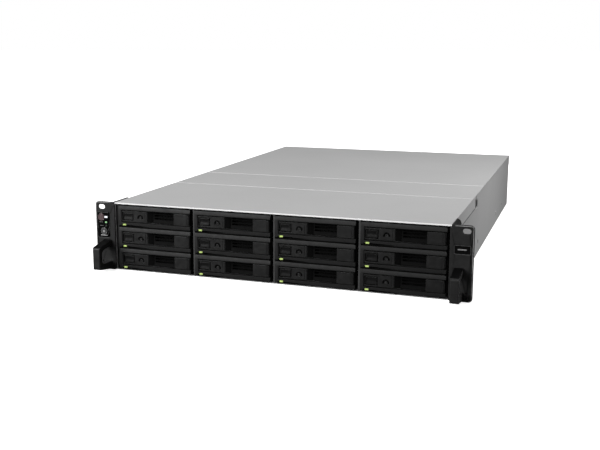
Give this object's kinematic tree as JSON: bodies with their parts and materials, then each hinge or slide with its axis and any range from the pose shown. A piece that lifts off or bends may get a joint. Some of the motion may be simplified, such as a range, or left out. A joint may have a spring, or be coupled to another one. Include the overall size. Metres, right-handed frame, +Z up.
{
  "type": "network attached storage",
  "caption": "Low grey rack storage server with rows of black lever-front drive trays, black rack ears with pull handles, control panel and hot-swap supplies.",
  "frame": {"origin": "centre of the bounding box on the underside of the chassis", "axes": "+X to the right seen from the front, +Y towards the back where the ports and supplies are, +Z up"},
  "size_m": [0.4824, 0.724, 0.0889],
  "materials": {
    "lid_grey": "light grey powder coat",
    "pan_grey": "mid grey coated steel",
    "cage_black": "black coated steel",
    "ear_black": "black powder coat",
    "handle_black": "black powder coat",
    "tray_black": "fine texture",
    "lever_black": "satin",
    "key_black": "satin",
    "panel_gloss": "high gloss with lit lenses",
    "power_red": "smoked red",
    "mute_grey": "smoked grey",
    "board_green": "solder mask green",
    "board_black": "dark green board",
    "fin_aluminium": "extruded",
    "port_steel": "plated",
    "supply_steel": "galvanised",
    "latch_green": "satin",
    "fan_black": "moulded",
    "screw_black": "black zinc"
  },
  "bodies": {
    "chassis": {"chassis_pan": "pan_grey", "front_lid": "lid_grey", "fan_bay_lid": "lid_grey", "drive_cage": "cage_black", "backplane": "board_black", "left_ear": "ear_black", "right_ear": "ear_black", "ear_handles": "handle_black", "ear_panels": "panel_gloss", "fan_frames": "fan_black", "main_board": "board_green", "cpu_heatsink": "fin_aluminium", "io_ports": "port_steel", "fasteners": "screw_black"},
    "tray_01": {"drive_tray_01": "tray_black"},
    "lever_01": {"tray_lever_01": "lever_black"},
    "button_01": {"release_button_01": "key_black"},
    "tray_02": {"drive_tray_02": "tray_black"},
    "lever_02": {"tray_lever_02": "lever_black"},
    "button_02": {"release_button_02": "key_black"},
    "tray_03": {"drive_tray_03": "tray_black"},
    "lever_03": {"tray_lever_03": "lever_black"},
    "button_03": {"release_button_03": "key_black"},
    "tray_04": {"drive_tray_04": "tray_black"},
    "lever_04": {"tray_lever_04": "lever_black"},
    "button_04": {"release_button_04": "key_black"},
    "tray_05": {"drive_tray_05": "tray_black"},
    "lever_05": {"tray_lever_05": "lever_black"},
    "button_05": {"release_button_05": "key_black"},
    "tray_06": {"drive_tray_06": "tray_black"},
    "lever_06": {"tray_lever_06": "lever_black"},
    "button_06": {"release_button_06": "key_black"},
    "tray_07": {"drive_tray_07": "tray_black"},
    "lever_07": {"tray_lever_07": "lever_black"},
    "button_07": {"release_button_07": "key_black"},
    "tray_08": {"drive_tray_08": "tray_black"},
    "lever_08": {"tray_lever_08": "lever_black"},
    "button_08": {"release_button_08": "key_black"},
    "tray_09": {"drive_tray_09": "tray_black"},
    "lever_09": {"tray_lever_09": "lever_black"},
    "button_09": {"release_button_09": "key_black"},
    "tray_10": {"drive_tray_10": "tray_black"},
    "lever_10": {"tray_lever_10": "lever_black"},
    "button_10": {"release_button_10": "key_black"},
    "tray_11": {"drive_tray_11": "tray_black"},
    "lever_11": {"tray_lever_11": "lever_black"},
    "button_11": {"release_button_11": "key_black"},
    "tray_12": {"drive_tray_12": "tray_black"},
    "lever_12": {"tray_lever_12": "lever_black"},
    "button_12": {"release_button_12": "key_black"},
    "rear_lid": {"rear_lid": "lid_grey"},
    "supply_1": {"power_supply_1": "supply_steel"},
    "latch_1": {"supply_latch_1": "latch_green"},
    "supply_2": {"power_supply_2": "supply_steel"},
    "latch_2": {"supply_latch_2": "latch_green"},
    "rotor_1": {"fan_rotor_1": "fan_black"},
    "rotor_2": {"fan_rotor_2": "fan_black"},
    "rotor_3": {"fan_rotor_3": "fan_black"},
    "power_key": {"power_button": "power_red"},
    "mute_key": {"mute_button": "mute_grey"}
  },
  "joints": [
    {"name": "tray_01_slide", "type": "slide", "parent": "chassis", "child": "tray_01", "axis": [0, -1, 0], "range_m": [0, 0.19]},
    {"name": "lever_01_hinge", "type": "hinge", "parent": "tray_01", "child": "lever_01", "pos_m": [-0.11205, -0.32825, 0.07135], "axis": [0, 0, 1], "range_deg": [0, 72]},
    {"name": "button_01_press", "type": "slide", "parent": "lever_01", "child": "button_01", "axis": [0, 1, 0], "range_m": [0, 0.0012], "stiffness_N_per_m": 300, "springref_m": -0.001},
    {"name": "tray_02_slide", "type": "slide", "parent": "chassis", "child": "tray_02", "axis": [0, -1, 0], "range_m": [0, 0.19]},
    {"name": "lever_02_hinge", "type": "hinge", "parent": "tray_02", "child": "lever_02", "pos_m": [-0.00585, -0.32825, 0.07135], "axis": [0, 0, 1], "range_deg": [0, 72]},
    {"name": "button_02_press", "type": "slide", "parent": "lever_02", "child": "button_02", "axis": [0, 1, 0], "range_m": [0, 0.0012], "stiffness_N_per_m": 300, "springref_m": -0.001},
    {"name": "tray_03_slide", "type": "slide", "parent": "chassis", "child": "tray_03", "axis": [0, -1, 0], "range_m": [0, 0.19]},
    {"name": "lever_03_hinge", "type": "hinge", "parent": "tray_03", "child": "lever_03", "pos_m": [0.10035, -0.32825, 0.07135], "axis": [0, 0, 1], "range_deg": [0, 72]},
    {"name": "button_03_press", "type": "slide", "parent": "lever_03", "child": "button_03", "axis": [0, 1, 0], "range_m": [0, 0.0012], "stiffness_N_per_m": 300, "springref_m": -0.001},
    {"name": "tray_04_slide", "type": "slide", "parent": "chassis", "child": "tray_04", "axis": [0, -1, 0], "range_m": [0, 0.19]},
    {"name": "lever_04_hinge", "type": "hinge", "parent": "tray_04", "child": "lever_04", "pos_m": [0.20655, -0.32825, 0.07135], "axis": [0, 0, 1], "range_deg": [0, 72]},
    {"name": "button_04_press", "type": "slide", "parent": "lever_04", "child": "button_04", "axis": [0, 1, 0], "range_m": [0, 0.0012], "stiffness_N_per_m": 300, "springref_m": -0.001},
    {"name": "tray_05_slide", "type": "slide", "parent": "chassis", "child": "tray_05", "axis": [0, -1, 0], "range_m": [0, 0.19]},
    {"name": "lever_05_hinge", "type": "hinge", "parent": "tray_05", "child": "lever_05", "pos_m": [-0.11205, -0.32825, 0.04345], "axis": [0, 0, 1], "range_deg": [0, 72]},
    {"name": "button_05_press", "type": "slide", "parent": "lever_05", "child": "button_05", "axis": [0, 1, 0], "range_m": [0, 0.0012], "stiffness_N_per_m": 300, "springref_m": -0.001},
    {"name": "tray_06_slide", "type": "slide", "parent": "chassis", "child": "tray_06", "axis": [0, -1, 0], "range_m": [0, 0.19]},
    {"name": "lever_06_hinge", "type": "hinge", "parent": "tray_06", "child": "lever_06", "pos_m": [-0.00585, -0.32825, 0.04345], "axis": [0, 0, 1], "range_deg": [0, 72]},
    {"name": "button_06_press", "type": "slide", "parent": "lever_06", "child": "button_06", "axis": [0, 1, 0], "range_m": [0, 0.0012], "stiffness_N_per_m": 300, "springref_m": -0.001},
    {"name": "tray_07_slide", "type": "slide", "parent": "chassis", "child": "tray_07", "axis": [0, -1, 0], "range_m": [0, 0.19]},
    {"name": "lever_07_hinge", "type": "hinge", "parent": "tray_07", "child": "lever_07", "pos_m": [0.10035, -0.32825, 0.04345], "axis": [0, 0, 1], "range_deg": [0, 72]},
    {"name": "button_07_press", "type": "slide", "parent": "lever_07", "child": "button_07", "axis": [0, 1, 0], "range_m": [0, 0.0012], "stiffness_N_per_m": 300, "springref_m": -0.001},
    {"name": "tray_08_slide", "type": "slide", "parent": "chassis", "child": "tray_08", "axis": [0, -1, 0], "range_m": [0, 0.19]},
    {"name": "lever_08_hinge", "type": "hinge", "parent": "tray_08", "child": "lever_08", "pos_m": [0.20655, -0.32825, 0.04345], "axis": [0, 0, 1], "range_deg": [0, 72]},
    {"name": "button_08_press", "type": "slide", "parent": "lever_08", "child": "button_08", "axis": [0, 1, 0], "range_m": [0, 0.0012], "stiffness_N_per_m": 300, "springref_m": -0.001},
    {"name": "tray_09_slide", "type": "slide", "parent": "chassis", "child": "tray_09", "axis": [0, -1, 0], "range_m": [0, 0.19]},
    {"name": "lever_09_hinge", "type": "hinge", "parent": "tray_09", "child": "lever_09", "pos_m": [-0.11205, -0.32825, 0.01555], "axis": [0, 0, 1], "range_deg": [0, 72]},
    {"name": "button_09_press", "type": "slide", "parent": "lever_09", "child": "button_09", "axis": [0, 1, 0], "range_m": [0, 0.0012], "stiffness_N_per_m": 300, "springref_m": -0.001},
    {"name": "tray_10_slide", "type": "slide", "parent": "chassis", "child": "tray_10", "axis": [0, -1, 0], "range_m": [0, 0.19]},
    {"name": "lever_10_hinge", "type": "hinge", "parent": "tray_10", "child": "lever_10", "pos_m": [-0.00585, -0.32825, 0.01555], "axis": [0, 0, 1], "range_deg": [0, 72]},
    {"name": "button_10_press", "type": "slide", "parent": "lever_10", "child": "button_10", "axis": [0, 1, 0], "range_m": [0, 0.0012], "stiffness_N_per_m": 300, "springref_m": -0.001},
    {"name": "tray_11_slide", "type": "slide", "parent": "chassis", "child": "tray_11", "axis": [0, -1, 0], "range_m": [0, 0.19]},
    {"name": "lever_11_hinge", "type": "hinge", "parent": "tray_11", "child": "lever_11", "pos_m": [0.10035, -0.32825, 0.01555], "axis": [0, 0, 1], "range_deg": [0, 72]},
    {"name": "button_11_press", "type": "slide", "parent": "lever_11", "child": "button_11", "axis": [0, 1, 0], "range_m": [0, 0.0012], "stiffness_N_per_m": 300, "springref_m": -0.001},
    {"name": "tray_12_slide", "type": "slide", "parent": "chassis", "child": "tray_12", "axis": [0, -1, 0], "range_m": [0, 0.19]},
    {"name": "lever_12_hinge", "type": "hinge", "parent": "tray_12", "child": "lever_12", "pos_m": [0.20655, -0.32825, 0.01555], "axis": [0, 0, 1], "range_deg": [0, 72]},
    {"name": "button_12_press", "type": "slide", "parent": "lever_12", "child": "button_12", "axis": [0, 1, 0], "range_m": [0, 0.0012], "stiffness_N_per_m": 300, "springref_m": -0.001},
    {"name": "rear_lid_slide", "type": "slide", "parent": "chassis", "child": "rear_lid", "axis": [0, 1, 0], "range_m": [0, 0.376]},
    {"name": "supply_1_slide", "type": "slide", "parent": "chassis", "child": "supply_1", "axis": [0, 1, 0], "range_m": [0, 0.19]},
    {"name": "latch_1_press", "type": "slide", "parent": "supply_1", "child": "latch_1", "axis": [-1, 0, 0], "range_m": [0, 0.0024], "stiffness_N_per_m": 600, "springref_m": -0.001},
    {"name": "supply_2_slide", "type": "slide", "parent": "chassis", "child": "supply_2", "axis": [0, 1, 0], "range_m": [0, 0.19]},
    {"name": "latch_2_press", "type": "slide", "parent": "supply_2", "child": "latch_2", "axis": [-1, 0, 0], "range_m": [0, 0.0024], "stiffness_N_per_m": 600, "springref_m": -0.001},
    {"name": "rotor_1_spin", "type": "hinge", "parent": "chassis", "child": "rotor_1", "pos_m": [-0.14, -0.108, 0.0437], "axis": [0, 1, 0], "continuous": true},
    {"name": "rotor_2_spin", "type": "hinge", "parent": "chassis", "child": "rotor_2", "pos_m": [0, -0.108, 0.0437], "axis": [0, 1, 0], "continuous": true},
    {"name": "rotor_3_spin", "type": "hinge", "parent": "chassis", "child": "rotor_3", "pos_m": [0.14, -0.108, 0.0437], "axis": [0, 1, 0], "continuous": true},
    {"name": "power_button_press", "type": "slide", "parent": "chassis", "child": "power_key", "axis": [0, 1, 0], "range_m": [0, 0.001], "stiffness_N_per_m": 400, "springref_m": -0.0005},
    {"name": "mute_button_press", "type": "slide", "parent": "chassis", "child": "mute_key", "axis": [0, 1, 0], "range_m": [0, 0.001], "stiffness_N_per_m": 400, "springref_m": -0.0005}
  ]
}
